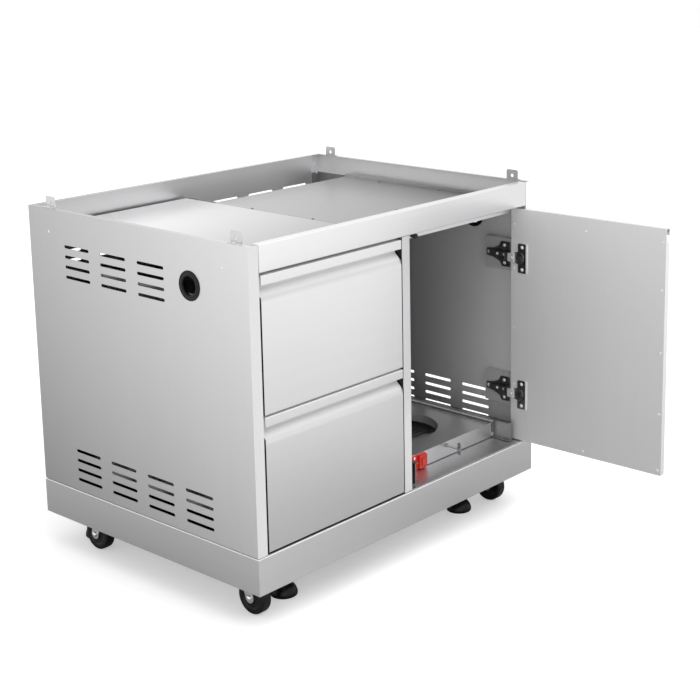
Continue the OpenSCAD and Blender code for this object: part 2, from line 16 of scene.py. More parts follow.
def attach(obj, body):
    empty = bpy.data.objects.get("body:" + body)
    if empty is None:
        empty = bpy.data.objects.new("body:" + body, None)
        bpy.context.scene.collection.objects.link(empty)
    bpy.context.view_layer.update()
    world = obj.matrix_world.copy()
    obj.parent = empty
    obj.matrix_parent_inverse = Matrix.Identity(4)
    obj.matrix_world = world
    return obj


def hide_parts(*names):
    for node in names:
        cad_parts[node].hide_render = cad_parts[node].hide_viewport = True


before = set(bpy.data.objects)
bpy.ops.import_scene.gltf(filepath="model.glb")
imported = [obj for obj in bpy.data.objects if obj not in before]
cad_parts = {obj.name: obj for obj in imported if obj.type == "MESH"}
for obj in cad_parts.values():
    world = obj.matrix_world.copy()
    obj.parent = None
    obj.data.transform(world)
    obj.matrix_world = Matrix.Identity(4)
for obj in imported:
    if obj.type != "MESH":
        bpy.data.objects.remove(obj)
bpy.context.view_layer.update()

# %% [markdown]
# The photograph was measured from the cabinet's front left lower corner, in millimetres. One
# function turns such a point into the frame's metres, so sizes can be written as measured.

# %% The cabinet's own millimetres
WIDTH, DEPTH, HEIGHT = 915.0, 705.0, 718.0
Y_MIDDLE = 159.601369
FLOOR_GAP = 81.0


def place(points):
    """Cabinet millimetres to frame metres: x less half the width, y less the box's middle, and z
    above the floor."""
    points = np.asarray(points, float)
    return (points + [-WIDTH / 2, -Y_MIDDLE, FLOOR_GAP]) / 1000


print("the rim's front left corner lies at", place((0, 0, HEIGHT)).round(4))

# %% [markdown]
# The camera stands at the left of the cabinet, a little above its rim, and looks across the front
# and the left side. Its place was worked out from the corners of the sheets in the photograph.
# A gentle downward tilt with a small shift keeps the upright edges nearly upright.

# %% The camera
scene = bpy.context.scene
camera_data = bpy.data.cameras.new("camera")
camera = bpy.data.objects.new("camera", camera_data)
scene.collection.objects.link(camera)
scene.camera = camera
PICTURE, SENSOR = 700, 36
CAMERA_AT = (-1884.0, -2037.0, 1331.0)
YAW, PITCH, ROLL = radians(49.08), radians(12.0), radians(0.66)
FOCAL, CENTRE_X, CENTRE_Y = 1485.0, 408.2, 232.0
camera.location = Vector(place(CAMERA_AT))
look = Matrix.Rotation(-YAW, 4, "Z") @ Matrix.Rotation(pi / 2 - PITCH, 4, "X")
camera.matrix_world = Matrix.Translation(camera.location) @ look @ Matrix.Rotation(-ROLL, 4, "Z")
camera_data.sensor_width = SENSOR
camera_data.lens = FOCAL / PICTURE * SENSOR
camera_data.shift_x = (PICTURE / 2 - CENTRE_X) / PICTURE
camera_data.shift_y = (CENTRE_Y - PICTURE / 2) / PICTURE
camera_data.clip_end = 50
print("lens", round(camera_data.lens, 1), "mm")

# %% [markdown]
# A material is a small program of nodes. Writing its sums as Python expressions keeps it
# readable: one class wraps a node's output, and each operator adds a Math node.

# %% Shader sums as expressions
class Value:
    """An output socket in a node tree; +, - and * add a Math node and give its output."""

    def __init__(self, tree, socket):
        self.tree, self.socket = tree, socket

    def sum(self, operation, *terms):
        node = self.tree.nodes.new("ShaderNodeMath")
        node.operation = operation
        for slot, term in zip(node.inputs, terms):
            if isinstance(term, Value):
                self.tree.links.new(term.socket, slot)
            else:
                slot.default_value = term
        return Value(self.tree, node.outputs[0])

    def __add__(self, other):
        return self.sum("ADD", self, other)

    __radd__ = __add__

    def __mul__(self, other):
        return self.sum("MULTIPLY", self, other)

    __rmul__ = __mul__

    def __sub__(self, other):
        return self.sum("SUBTRACT", self, other)

    def __rsub__(self, other):
        return self.sum("SUBTRACT", other, self)

    def below(self, limit):
        """1 where the value is under the limit, else 0."""
        return self.sum("LESS_THAN", self, limit)

    def clamp(self, low=0.0, high=1.0):
        return self.sum("MINIMUM", self.sum("MAXIMUM", self, low), high)


class Finish:
    """A material under construction, with its Principled shader."""

    def __init__(self, name):
        self.material = bpy.data.materials.new(name)
        self.material.use_nodes = True
        self.tree = self.material.node_tree
        self.shader = self.tree.nodes["Principled BSDF"]
        self.coords = self.node("ShaderNodeTexCoord").outputs["Object"]

    def node(self, kind, settings=None, values=None):
        """A node of any kind: its settings first, then the values or links of its sockets."""
        node = self.tree.nodes.new(kind)
        for key, setting in (settings or {}).items():
            setattr(node, key, setting)
        for key, value in (values or {}).items():
            self.put(node.inputs[key], value)
        return node

    def put(self, socket, value):
        if isinstance(value, Value):
            value = value.socket
        if isinstance(value, bpy.types.NodeSocket):
            self.tree.links.new(value, socket)
        else:
            socket.default_value = value

    def noise(self, scale, stretch=(1, 1, 1), detail=2.0, roughness=0.5):
        """Noise on the object's own coordinates, drawn out by stretch: a small factor gives a
        long streak."""
        stretched = self.node("ShaderNodeMapping", values={"Vector": self.coords, "Scale": stretch})
        noise = self.node("ShaderNodeTexNoise", values={
            "Vector": stretched.outputs[0], "Scale": scale, "Detail": detail, "Roughness": roughness})
        return Value(self.tree, noise.outputs["Fac"])

    def mix(self, factor, first, second):
        """A colour between two others."""
        node = self.node("ShaderNodeMix", {"data_type": "RGBA"}, {0: factor})
        self.put(node.inputs[6], first)
        self.put(node.inputs[7], second)
        return node.outputs[2]

    def bump(self, height, strength):
        """Relief a fifth of a millimetre deep at full strength."""
        node = self.node("ShaderNodeBump", values={
            "Height": height, "Strength": strength, "Distance": 0.0002})
        self.put(self.shader.inputs["Normal"], node.outputs[0])

    def set(self, **sockets):
        for name, value in sockets.items():
            self.put(self.shader.inputs[name.replace("_", " ").title().replace("Ior", "IOR")], value)
        return self.material


print("the tools for finishes are ready")

# %% [markdown]
# Brushed stainless is bright metal with very fine, parallel scratches. The scratches are noise
# stretched a hundred times along the brushing. They vary the roughness and tilt the surface a
# little, and a slow second noise keeps large sheets from looking perfectly even.

# %% Brushed stainless
FRONT = -Y_MIDDLE / 1000
FLANGE_BACK = FRONT + 0.0015
BAY_WALL_X, BAY_TOP_Z = 0.457, 0.749
RECESS_START, STRIP_BACK = 0.0007, 0.004


def brushed(name, tone, along, roughness, metal=1.0, fade=(0, 0, 0), face=(0, 0), recess=0.0,
            hidden=None, bay=False):
    """Metal of the given tone, brushed along one axis (0, 1 or 2). Fade is painted light and shade:
    its tone moves slowly across the sheet, by the given share of itself per metre of X, Y and Z.
    Face is painted light on the flange in the front plane: the share added there, and what it changes
    by per metre of Z. Recess is painted shade on all that lies behind that plane, or painted light
    where it is negative, and a painted dark line at the bend covers the bend's highlight. Hidden is
    painted shade: an axis, a limit and the share lost below it. Bay keeps the painted fades to the
    side that faces the bay."""
    finish = Finish(name)
    stretch = [1.0, 1.0, 1.0]
    stretch[along] = 0.008
    scratch = finish.noise(900, stretch, 3.0, 0.65)
    streak = finish.noise(60, stretch, 2.0)
    slow = finish.noise(3.0)
    level = (scratch - 0.5) * 0.10 + (streak - 0.5) * 0.05 + (slow - 0.5) * 0.05
    split = finish.node("ShaderNodeSeparateXYZ", values={0: finish.coords})
    parts = [Value(finish.tree, part) for part in split.outputs]
    shade = level * 0.6 + 1.0
    plain = shade
    # painted light and shade: the tone fades across the sheet
    for part, share in zip(parts, fade):
        if share:
            shade = (shade + part * share).clamp(0.3, 2.0)
    if bay:
        inner = parts[0].below(BAY_WALL_X) * parts[2].below(BAY_TOP_Z)
        inner = inner * (1.0 - parts[1].below(FLANGE_BACK))
        shade = plain + (shade - plain) * inner
    rough = level * 0.9 + roughness
    # painted light on the flange in the front plane
    if face[0]:
        shade = shade + parts[1].below(FLANGE_BACK) * (parts[2] * face[1] + face[0])
    # painted shade below a limit
    if hidden:
        shade = shade - parts[hidden[0]].below(hidden[1]) * hidden[2]
    # painted shade behind the front plane (painted light where recess is negative), and a painted dark
    # line over the bend's highlight
    if recess:
        depth = parts[1] - FRONT
        inside = ((depth - RECESS_START) * 350.0).clamp()
        bend = (depth * 400.0).clamp() - ((depth - STRIP_BACK) * 110.0).clamp()
        shade = shade - inside * recess - bend * 0.36
        rough = rough + inside * 0.2
        metal = inside * -0.95 + metal
    grey = (shade * tone).clamp()
    colour = finish.node("ShaderNodeCombineColor", values={0: grey, 1: grey, 2: grey * 1.008})
    finish.bump(scratch, 0.05)
    return finish.set(base_color=colour.outputs[0], metallic=metal, roughness=rough)


# Each part takes its own copy of the one brushed stainless. Their tones and fades are painted light and
# shade for how brightly each part is lit: the lower drawer darker than the upper, the side panel darker
# towards its back and bottom, the post darkened at its sides, the bay's wall darker deeper in.
steel_side = brushed("steel_side", 0.53, 2, 0.38, fade=(0, -0.75, 0.42), face=(0.89, -1.01))
steel_back = brushed("steel_back", 0.68, 0, 0.38, fade=(0.7, 0, 0))
steel_wall = brushed("steel_wall", 0.78, 2, 0.45, metal=0.45, fade=(0, -2.6, 0), face=(0.4, 0), bay=True)
steel_front = brushed("steel_front", 0.86, 0, 0.32, recess=-0.15)
steel_lower = brushed("steel_lower", 0.49, 0, 0.34, fade=(0, 0, 1.6), recess=-0.15)
steel_bracket = brushed("steel_bracket", 0.42, 2, 0.5, metal=0.2, fade=(0, -1.6, 0))
steel_shade = brushed("steel_shade", 0.22, 1, 0.45)
steel_post = brushed("steel_post", 1.12, 0, 0.32, fade=(0, 0, -0.45), recess=0.85)
# near-black painted shade, for the gaps beside the drawer fronts and the dark line over the base
steel_painted_shade = brushed("steel_painted_shade", 0.06, 0, 0.5, metal=0.5)
steel_floor = brushed("steel_floor", 0.66, 1, 0.38, hidden=(0, -0.01, 0.9))
steel_left_deck = brushed("steel_left_deck", 0.48, 1, 0.36, fade=(-0.75, 2.35, 0))
steel_right_deck = brushed("steel_right_deck", 0.41, 1, 0.36, fade=(-0.65, 1.2, 0))
steel_tray = brushed("steel_tray", 0.78, 1, 0.36, fade=(-0.4, -0.4, 0))
steel_base = brushed("steel_base", 0.62, 0, 0.38, fade=(-0.25, 0, 0))
# painted shade: a darker copy of the base's steel for its two ends
steel_base_shaded_side = brushed("steel_base_shaded_side", 0.54, 1, 0.38, fade=(0, -0.3, 0))
steel_header = brushed("steel_header", 1.0, 0, 0.5, metal=0.4)
steel_inside = brushed("steel_inside", 0.66, 2, 0.38)
steel_door = brushed("steel_door", 0.66, 2, 0.55, metal=0.35, fade=(0, 0.22, 0.42))
steel_skin = brushed("steel_skin", 0.87, 0, 0.32)
steel_apron = brushed("steel_apron", 0.84, 0, 0.32, fade=(-0.2, 0, 0))
print("the brushed finishes")

# %% [markdown]
# The fittings need plainer finishes: zinc on the slides and forks, dark nickel on the hinges,
# bright metal on rivets and the wing bolt, black rubber on wheels, feet and grommets, and one
# red moulded plastic.

# %% Finishes of the fittings
def plated(name, tone, roughness, grain=0.06, metal=1.0):
    """Plated metal: cloudy noise moves its tone and roughness slightly."""
    finish = Finish(name)
    cloud = finish.noise(140, detail=3.0)
    fleck = finish.noise(1800, detail=2.0)
    level = (cloud - 0.5) * 1.2 + (fleck - 0.5) * 0.8
    darker, lighter = (tone * 0.8,) * 3 + (1,), (min(tone * 1.12, 1),) * 3 + (1,)
    colour = finish.mix((level + 0.55).clamp(), darker, lighter)
    finish.bump(fleck, 0.04)
    return finish.set(base_color=colour, metallic=metal, roughness=level * grain + roughness)


def moulded(name, colour, roughness, grain=0.5, specular=0.5):
    """Rubber or plastic: fine pebble grain and slightly uneven shine."""
    finish = Finish(name)
    pebble = finish.noise(2600, detail=2.0)
    wear = finish.noise(45, detail=4.0)
    light = tuple(min(c * 1.35 + 0.006, 1) for c in colour) + (1,)
    shade = finish.mix(((wear - 0.45) * 1.6).clamp(), colour + (1,), light)
    finish.bump(pebble, 0.10 * grain)
    return finish.set(base_color=shade, roughness=(wear - 0.5) * 0.18 + roughness,
                      specular_ior_level=specular)


zinc = plated("zinc", 0.62, 0.32)
bright = plated("bright", 0.86, 0.16, 0.03)
dark_nickel = plated("dark_nickel", 0.20, 0.30, 0.12)
link_nickel = plated("link_nickel", 0.80, 0.30, metal=0.4)
# painted shade: a darker zinc for the slides' webs and the outer slides under the tray
slide_painted_shade = plated("slide_painted_shade", 0.36, 0.42)
bolt_steel = plated("bolt_steel", 0.30, 0.3, 0.03, metal=0.8)
# bright metal for the rivets, and a painted highlight on the base's ledge and on the edges of the hinges'
# cup plates
polished = plated("polished", 0.95, 0.25, metal=0.1)
rubber = moulded("rubber", (0.004, 0.004, 0.0045), 0.34, specular=0.25)
black_plastic = moulded("black_plastic", (0.02, 0.02, 0.021), 0.42)
red_plastic = moulded("red_plastic", (0.62, 0.035, 0.02), 0.32, 0.3)
print("the fittings' finishes")

# %% [markdown]
# The CAD nodes whose shape is already right keep it and only take a finish.

# %% Finishes on the frame's nodes
FINISHES = {
    steel_side: "left_side_panel",
    steel_back: "back_panel",
    steel_wall: "right_side_panel",
    steel_bracket: "hinge_brackets",
    steel_front: "upper_drawer_front",
    steel_post: "centre_post",
    steel_lower: "lower_drawer_front",
    steel_skin: "door_outer_skin",
    steel_apron: "front_apron",
    steel_left_deck: "left_deck",
    steel_right_deck: "right_deck",
    steel_tray: "tray_pan",
    steel_base: "base_skirt mounting_tabs",
    steel_header: "door_header",
    steel_floor: "floor_panel",
    steel_shade: "tray_brackets",
    steel_inside: "partition_panel base_rails drawer_brackets "
                  "upper_drawer_box lower_drawer_box",
    steel_door: "door_inner_skin",
    slide_painted_shade: "tray_outer_slides",
    zinc: "drawer_outer_slides upper_drawer_inner_slides upper_drawer_mid_slides "
          "lower_drawer_inner_slides lower_drawer_mid_slides tray_inner_slides tray_mid_slides "
          "foot_stems caster_plates front_left_fork front_right_fork rear_left_fork rear_right_fork",
    bright: "clip_rivets wing_bolt front_left_axle front_right_axle rear_left_axle rear_right_axle",
    polished: "panel_rivets door_rivets",
    dark_nickel: "hinge_cups hinge_arms deck_screws",
    rubber: "left_grommet right_grommet levelling_feet front_left_wheel front_right_wheel "
            "rear_left_wheel rear_right_wheel",
    black_plastic: "magnet_catch",
    red_plastic: "red_clip",
}
for finish, names in FINISHES.items():
    for name in names.split():
        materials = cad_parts[name].data.materials
        materials.clear()
        materials.append(finish)
finished = {name for names in FINISHES.values() for name in names.split()}
print("nodes without a finish:", sorted(set(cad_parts) - finished))

# %% [markdown]
# New pieces are surfaces worked out with numpy. A grid of points becomes a mesh in one call, and
# the same few functions serve folded sheets, turned rubber and small pressed parts.

# %% From arrays to meshes
def make_mesh(name, points, faces, finish, body, smooth=35, bevel=0.0, node=None):
    """Points in cabinet millimetres and faces become one piece that rides on a body."""
    mesh = bpy.data.meshes.new(name)
    mesh.from_pydata(place(points), [], faces)
    work = bmesh.new()
    work.from_mesh(mesh)
    bmesh.ops.remove_doubles(work, verts=work.verts, dist=1e-6)
    bmesh.ops.recalc_face_normals(work, faces=work.faces)
    work.to_mesh(mesh)
    work.free()
    mesh.shade_smooth()
    mesh.set_sharp_from_angle(angle=radians(smooth))
    mesh.materials.append(finish)
    piece = bpy.data.objects.new(name, mesh)
    scene.collection.objects.link(piece)
    if bevel:
        rounding = piece.modifiers.new("bevel", "BEVEL")
        rounding.width, rounding.segments, rounding.limit_method = bevel / 1000, 3, "ANGLE"
        rounding.angle_limit = radians(40)
    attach(piece, body)
    if node:
        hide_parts(*node.split())
    return piece


def face_facts(piece):
    """The normals of a piece's faces, and their centres in cabinet millimetres."""
    facts = []
    for key in ("normal", "center"):
        values = np.zeros(3 * len(piece.data.polygons))
        piece.data.polygons.foreach_get(key, values)
        facts.append(values.reshape(-1, 3))
    return facts[0], facts[1] * 1000 - [-WIDTH / 2, -Y_MIDDLE, FLOOR_GAP]


def paint(piece, finish, chosen):
    """A second finish on the chosen faces of a new piece."""
    index = np.zeros(len(piece.data.polygons), np.int32)
    piece.data.polygons.foreach_get("material_index", index)
    piece.data.materials.append(finish)
    index[chosen] = len(piece.data.materials) - 1
    piece.data.polygons.foreach_set("material_index", index)


def grid_faces(rows, columns, wrap_rows=False, wrap_columns=False):
    """Quads of a grid of rows by columns points; a wrapped side joins its last line to its first."""
    r = np.arange(rows if wrap_rows else rows - 1)[:, None]
    c = np.arange(columns if wrap_columns else columns - 1)[None, :]
    r2, c2 = (r + 1) % rows, (c + 1) % columns
    corners = (r * columns + c, r2 * columns + c, r2 * columns + c2, r * columns + c2)
    return np.stack(np.broadcast_arrays(*corners), -1).reshape(-1, 4).tolist()


def extrude(outline, low, high, axis):
    """A closed outline carried from low to high along an axis, with both ends capped.
    The outline's two numbers are the other two axes, in X, Y, Z order."""
    outline = np.asarray(outline, float)
    points = np.stack([np.insert(outline, axis, at, axis=1) for at in (low, high)])
    count = len(outline)
    faces = grid_faces(2, count, wrap_columns=True)
    return points.reshape(-1, 3), faces + [list(range(count)), list(range(count, 2 * count))[::-1]]


def join(*parts):
    """Several lists of points and faces as one."""
    points, faces, start = [], [], 0
    for p, f in parts:
        points.append(np.asarray(p))
        faces += [[i + start for i in face] for face in f]
        start += len(p)
    return np.concatenate(points), faces


def rounded(path, radius, steps=6, closed=False):
    """A bent line with each corner replaced by an arc: the arc's points are quadratic Bezier
    points (1-t)^2 a + 2 t (1-t) corner + t^2 b, which a small bend can't be told from.
    The radius is one for all corners or a list with one for each point."""
    path = np.asarray(path, float)
    count = len(path)
    radii = np.broadcast_to(radius, count)
    out = [] if closed else [path[:1]]
    t = np.linspace(0, 1, steps + 1)[:, None]
    for i in (range(count) if closed else range(1, count - 1)):
        before, corner, after = path[i - 1], path[i], path[(i + 1) % count]
        one, two = before - corner, after - corner
        reach = min(radii[i], 0.49 * np.hypot(*one), 0.49 * np.hypot(*two))
        a, b = corner + one / np.hypot(*one) * reach, corner + two / np.hypot(*two) * reach
        out.append((1 - t) ** 2 * a + 2 * t * (1 - t) * corner + t ** 2 * b)
    return np.concatenate(out if closed else out + [path[-1:]])


def rectangle(x0, y0, x1, y1, radius):
    """A closed rectangle with rounded corners."""
    return rounded([(x0, y0), (x1, y0), (x1, y1), (x0, y1)], radius, 4, closed=True)


def band(path, thickness):
    """The outline of a sheet: a line moved half a thickness to each side along its normals."""
    step = np.gradient(path, axis=0)
    normal = np.stack([-step[:, 1], step[:, 0]], 1) / np.hypot(step[:, 0], step[:, 1])[:, None]
    return np.concatenate([path + normal * thickness / 2, (path - normal * thickness / 2)[::-1]])


def turned(profile, centre, axis, around=96):
    """A closed profile of (radius, place along the axis) turned a full circle about an axis:
    the point at angle q is (radius cos q, radius sin q) across the axis."""
    profile = np.asarray(profile, float)
    q = np.linspace(0, 2 * pi, around, endpoint=False)[:, None]
    across = [i for i in range(3) if i != axis]
    points = np.zeros((around, len(profile), 3))
    points[..., across[0]] = profile[:, 0] * np.cos(q)
    points[..., across[1]] = profile[:, 0] * np.sin(q)
    points[..., axis] = profile[:, 1]
    faces = grid_faces(around, len(profile), wrap_rows=True, wrap_columns=True)
    return points.reshape(-1, 3) + np.asarray(centre, float), faces


print("the mesh tools are ready")

# %% [markdown]
# A drawer front and the door's outer skin are one sheet each, bent at every corner. A press
# leaves a small radius there, and that radius catches the light. The line of the sheet goes up
# the face, back along the slope of the finger recess, and forward again into the handle strip.

# %% Folded fronts
SHEET = 1.2
SIDE_FLANGE, POST_LEFT, POST_WIDTH = 25.4, WIDTH / 2 - 12, 24.0
OPEN_TOP, FRONT_LOW = 662.0, 85.0
FRONT_TOP = OPEN_TOP - 5.5
GAP, DRAWER_GAP = 2.0, 4.0
DRAWER_X, DRAWER_W = SIDE_FLANGE + GAP, POST_LEFT - SIDE_FLANGE - 2 * GAP
DRAWER_H = (FRONT_TOP - FRONT_LOW - DRAWER_GAP) / 2
DOOR_X = POST_LEFT + POST_WIDTH + GAP
DOOR_W = WIDTH - SIDE_FLANGE - GAP - DOOR_X
DOOR_H = FRONT_TOP - FRONT_LOW
DRAWER_FOLDS = dict(depth=21.2, low=45.5, high=29.0, strip=19.5)
DOOR_FOLDS = dict(depth=13.8, low=37.5, high=23.5, strip=16.5)
OPEN_ANGLE = radians(91.2)
PIVOT = np.array((DOOR_X + DOOR_W - 14.5, 15.7))


def folded_front(height, depth, low, high, strip):
    """Outline of a front's sheet in (back, up): the face, the recess and the strip over it."""
    half = SHEET / 2
    back = depth - half
    line = [(depth, half), (half, half), (half, height - low), (back, height - high),
            (back, height - half), (half, height - half), (half, height - strip)]
    return band(rounded(line, [0, 1.8, 13.0, 9.0, 1.8, 1.8, 0], 8), SHEET)


def recess_end(height, depth, low, high):
    """Outline of the plate that closes a front at its side, set in by half a sheet."""
    return rounded([(0.4, 0.4), (0.4, height - low), (depth - SHEET, height - high),
                    (depth - SHEET, height - 0.4), (depth, height - 0.4), (depth, 0.4)],
                   1.0, 3, closed=True)


def front_mesh(x, width, z, height, depth, low, high, strip):
    """The folded sheet and its two closed ends."""
    sheet = extrude(folded_front(height, depth, low, high, strip) + [0, z], x, x + width, 0)
    end = recess_end(height, depth, low, high) + [0, z]
    first = extrude(end, x + 0.2, x + SHEET, 0)
    last = extrude(end, x + width - SHEET, x + width - 0.2, 0)
    return join(sheet, first, last)


def opened(points):
    """Points of the closed door turned about its pivot to the open angle."""
    points = np.array(points, float)
    x, y = points[:, 0] - PIVOT[0], points[:, 1] - PIVOT[1]
    points[:, 0] = PIVOT[0] + x * cos(OPEN_ANGLE) - y * sin(OPEN_ANGLE)
    points[:, 1] = PIVOT[1] + x * sin(OPEN_ANGLE) + y * cos(OPEN_ANGLE)
    return points


for which, row, finish in (("lower", 0, steel_lower), ("upper", 1, steel_front)):
    z = FRONT_LOW + row * (DRAWER_H + DRAWER_GAP)
    points, faces = front_mesh(DRAWER_X + 2.6, DRAWER_W - 3.6, z, DRAWER_H, **DRAWER_FOLDS)
    front = make_mesh(which + "_drawer_folded_front", points, faces, finish, which + "_drawer",
                      node=which + "_drawer_front")
    # painted shade: the fronts' sides and end plates near black, for the dark gaps beside them
    paint(front, steel_painted_shade, np.abs(face_facts(front)[0][:, 0]) > 0.9)

points, faces = front_mesh(DOOR_X, DOOR_W, FRONT_LOW, DOOR_H, **DOOR_FOLDS)
make_mesh("door_folded_skin", opened(points), faces, steel_skin, "door", node="door_outer_skin")
print("two drawer fronts of", round(DRAWER_W), "x", round(DRAWER_H), "mm and one door skin")

# %% [markdown]
# The base, the apron and the decks are folded sheets too. The base stands a millimetre proud of
# the panels and its upper edge is joggled; the joggle is painted near black as painted shade and the
# ledge under it painted bright as a painted highlight, a dark line over a bright one all around.
# A small gap parts the apron from the side flanges, and another parts the two decks.

# %% Base, apron and decks
BASE_TOP, DECK_Z = 81.5, HEIGHT - 50.0
HALF = SHEET / 2
FOLD_LOW = BASE_TOP - 1.9


def swept_ring(section, count):
    """A section of (outwards, up) carried around the cabinet's outline with mitred corners. At the
    back it stays a millimetre further in, so nothing stands out behind the back panel."""
    out, up = np.asarray(section, float).T
    corners = [(-out, -out), (WIDTH + out, -out), (WIDTH + out, DEPTH + out - 1), (-out, DEPTH + out - 1)]
    points = np.concatenate([np.stack([x, y, up], 1) for x, y in corners])
    return points, grid_faces(4, count, wrap_rows=True, wrap_columns=True)


skirt_line = rounded([(-12, HALF), (1 - HALF, HALF), (1 - HALF, BASE_TOP - 2.6), (-4.4, BASE_TOP - 2.6),
                      (-4.4, BASE_TOP - HALF), (-24.6, BASE_TOP - HALF)], [0, 1.2, 1.4, 1.0, 1.0, 0], 5)
skirt = band(skirt_line, SHEET)
points, faces = swept_ring(skirt, len(skirt))
base = make_mesh("joggled_base_skirt", points, faces, steel_base, "cabinet", 30,
                 node="base_skirt")
normals, centres = face_facts(base)
ledge = (normals[:, 2] > 0.3) & (centres[:, 2] > BASE_TOP - 5) & (centres[:, 2] < FOLD_LOW)
# painted shade on the base's two ends
paint(base, steel_base_shaded_side, np.abs(normals[:, 0]) > 0.7)
# painted shade on the joggle above the fold, and a painted highlight on the ledge below it
paint(base, steel_painted_shade, centres[:, 2] > FOLD_LOW)
paint(base, polished, ledge)

apron_line = rounded([(16, OPEN_TOP + HALF), (HALF, OPEN_TOP + HALF), (HALF, HEIGHT - HALF),
                      (20, HEIGHT - HALF)], 1.6)
points, faces = extrude(band(apron_line, SHEET), SIDE_FLANGE + 1.6, WIDTH - SIDE_FLANGE - 1.6, 0)
make_mesh("folded_apron", points, faces, steel_apron, "cabinet", 30, node="front_apron")


def deck_mesh(x0, x1, back):
    """One deck with rounded folds at both sides, carried from front to back, and its front skirt."""
    line = rounded([(x0 + HALF, DECK_Z - 9), (x0 + HALF, DECK_Z - HALF),
                    (x1 - HALF, DECK_Z - HALF), (x1 - HALF, DECK_Z - 9)], 1.8)
    sheet = band(line, SHEET)
    left, right = max(x0, SIDE_FLANGE), min(x1, WIDTH - SIDE_FLANGE)
    front = rectangle(left, OPEN_TOP + SHEET + 0.1, right, DECK_Z - 1.4, 0.5)
    return join(extrude(sheet, SHEET + 0.3, back, 1), extrude(front, SHEET + 0.05, 2 * SHEET, 1))


MIDDLE, DECK_END, DECK_BACK = WIDTH / 2 - HALF, WIDTH - SHEET - 11.6, DEPTH - 113
points, faces = deck_mesh(SHEET + 0.6, MIDDLE - 13.2, DEPTH - 15)
make_mesh("left_folded_deck", points, faces, steel_left_deck, "cabinet", 30, node="left_deck")
side_lip = rectangle(DECK_END - SHEET, DECK_Z - 9, DECK_END, DECK_Z + 9, 0.5)
back_lip = rectangle(MIDDLE + 4, DECK_Z - 10, DECK_END, DECK_Z - 0.3, 0.4)
points, faces = join(deck_mesh(MIDDLE - 10.8, DECK_END, DECK_BACK), extrude(side_lip, 20, DECK_BACK, 1),
                     extrude(back_lip, DECK_BACK, DECK_BACK + SHEET, 1))
make_mesh("right_folded_deck", points, faces, steel_right_deck, "cabinet", 30, node="right_deck")
print("base, apron and two decks")

# %% [markdown]
# Wheels, feet and grommets are turned shapes. Their profiles have the small steps and rounded
# edges of moulded rubber.

# %% Wheels, feet and grommets
def smooth_profile(points, radius):
    """A closed profile with all its corners rounded."""
    return rounded(points, radius, 4, closed=True)


def dome_profile(radius, height, brim):
    """Half of a domed head: (radius cos t, brim + height sin t) over a short straight brim."""
    t = np.linspace(0, pi / 2, 12)
    dome = np.stack([np.maximum(radius * np.cos(t), 0.01), brim + height * np.sin(t)], 1)
    return np.vstack([[(0.01, 0), (radius, 0)], dome])


WHEEL_R, WHEEL_LIFT = 38.0, 1.0
WHEEL_Z = WHEEL_R + WHEEL_LIFT - FLOOR_GAP
wheel_profile = smooth_profile([
    (5.1, -13), (12.5, -13), (13.5, -10.5), (23.5, -10), (25.5, -12.4), (33, -12.8), (37, -11),
    (38, -8), (38, 8), (37, 11), (33, 12.8), (25.5, 12.4), (23.5, 10), (13.5, 10.5), (12.5, 13),
    (5.1, 13)], 1.6)
foot_profile = smooth_profile([
    (0.01, 0), (28.5, 0), (30, 2), (30, 7), (27.5, 15), (21.5, 23.5), (14, 29.5), (10, 34.5),
    (0.01, 34.5)], 4.0)
CASTERS = {"front_left": (60, 80), "front_right": (WIDTH - 60, 80),
           "rear_left": (60, 592), "rear_right": (WIDTH - 60, 592)}
for corner, (x, y) in CASTERS.items():
    points, faces = turned(wheel_profile, (x, y, WHEEL_Z), 0)
    make_mesh(corner + "_rubber_wheel", points, faces, rubber, corner + "_roller", 30,
              node=corner + "_wheel")
FEET = ((160, 98), (WIDTH - 160, 98), (102, 656), (WIDTH - 102, 656))
points, faces = join(*[turned(foot_profile, (x, y, -FLOOR_GAP), 2, 64) for x, y in FEET])
make_mesh("rubber_feet", points, faces, rubber, "cabinet", 30, node="levelling_feet")

grommet_profile = smooth_profile([
    (19.5, 1.2), (21.5, 2.5), (24.5, 2.5), (25.6, 1.6), (27.5, 1.6), (29, 2.3), (31.4, 0.9), (31.4, 0.01),
    (26.9, 0.01), (26.9, -1.3), (29.3, -1.3), (29.3, -4.6), (27, -5.2), (19.5, -5.2)], 0.7)
for side, x, sign in (("left", 0, -1), ("right", WIDTH, 1)):
    points, faces = turned(grommet_profile * [1, sign], (x, 174.6, HEIGHT - 102), 0, 72)
    make_mesh(side + "_rubber_grommet", points, faces, rubber, "cabinet", 30,
              node=side + "_grommet")
print("four wheels, four feet, two grommets")

# %% [markdown]
# Small pressed parts are plates with rounded corners and holes. A plate with a hole is a grid
# too: one of its directions runs around, the other from the rim of the hole to the outline.

# %% Plates and screw heads
def resample(loop, count):
    """A closed line as so many points, evenly spaced along its length."""
    loop = np.vstack([loop, loop[:1]])
    along = np.insert(np.cumsum(np.hypot(*np.diff(loop, axis=0).T)), 0, 0)
    at = np.linspace(0, along[-1], count, endpoint=False)
    return np.stack([np.interp(at, along, loop[:, i]) for i in (0, 1)], 1)


def holed(outline, centre, radius, low, high, axis, count=64):
    """A plate from low to high along an axis, with one round hole."""
    centre = np.asarray(centre, float)
    outer = resample(outline, count)
    turn = np.arctan2(*(outer - centre).T[::-1])
    inner = centre + radius * np.stack([np.cos(turn), np.sin(turn)], 1)
    loops = ((inner, low), (outer, low), (outer, high), (inner, high))
    rings = [np.insert(loop, axis, at, axis=1) for loop, at in loops]
    return np.concatenate(rings), grid_faces(4, count, wrap_rows=True, wrap_columns=True)


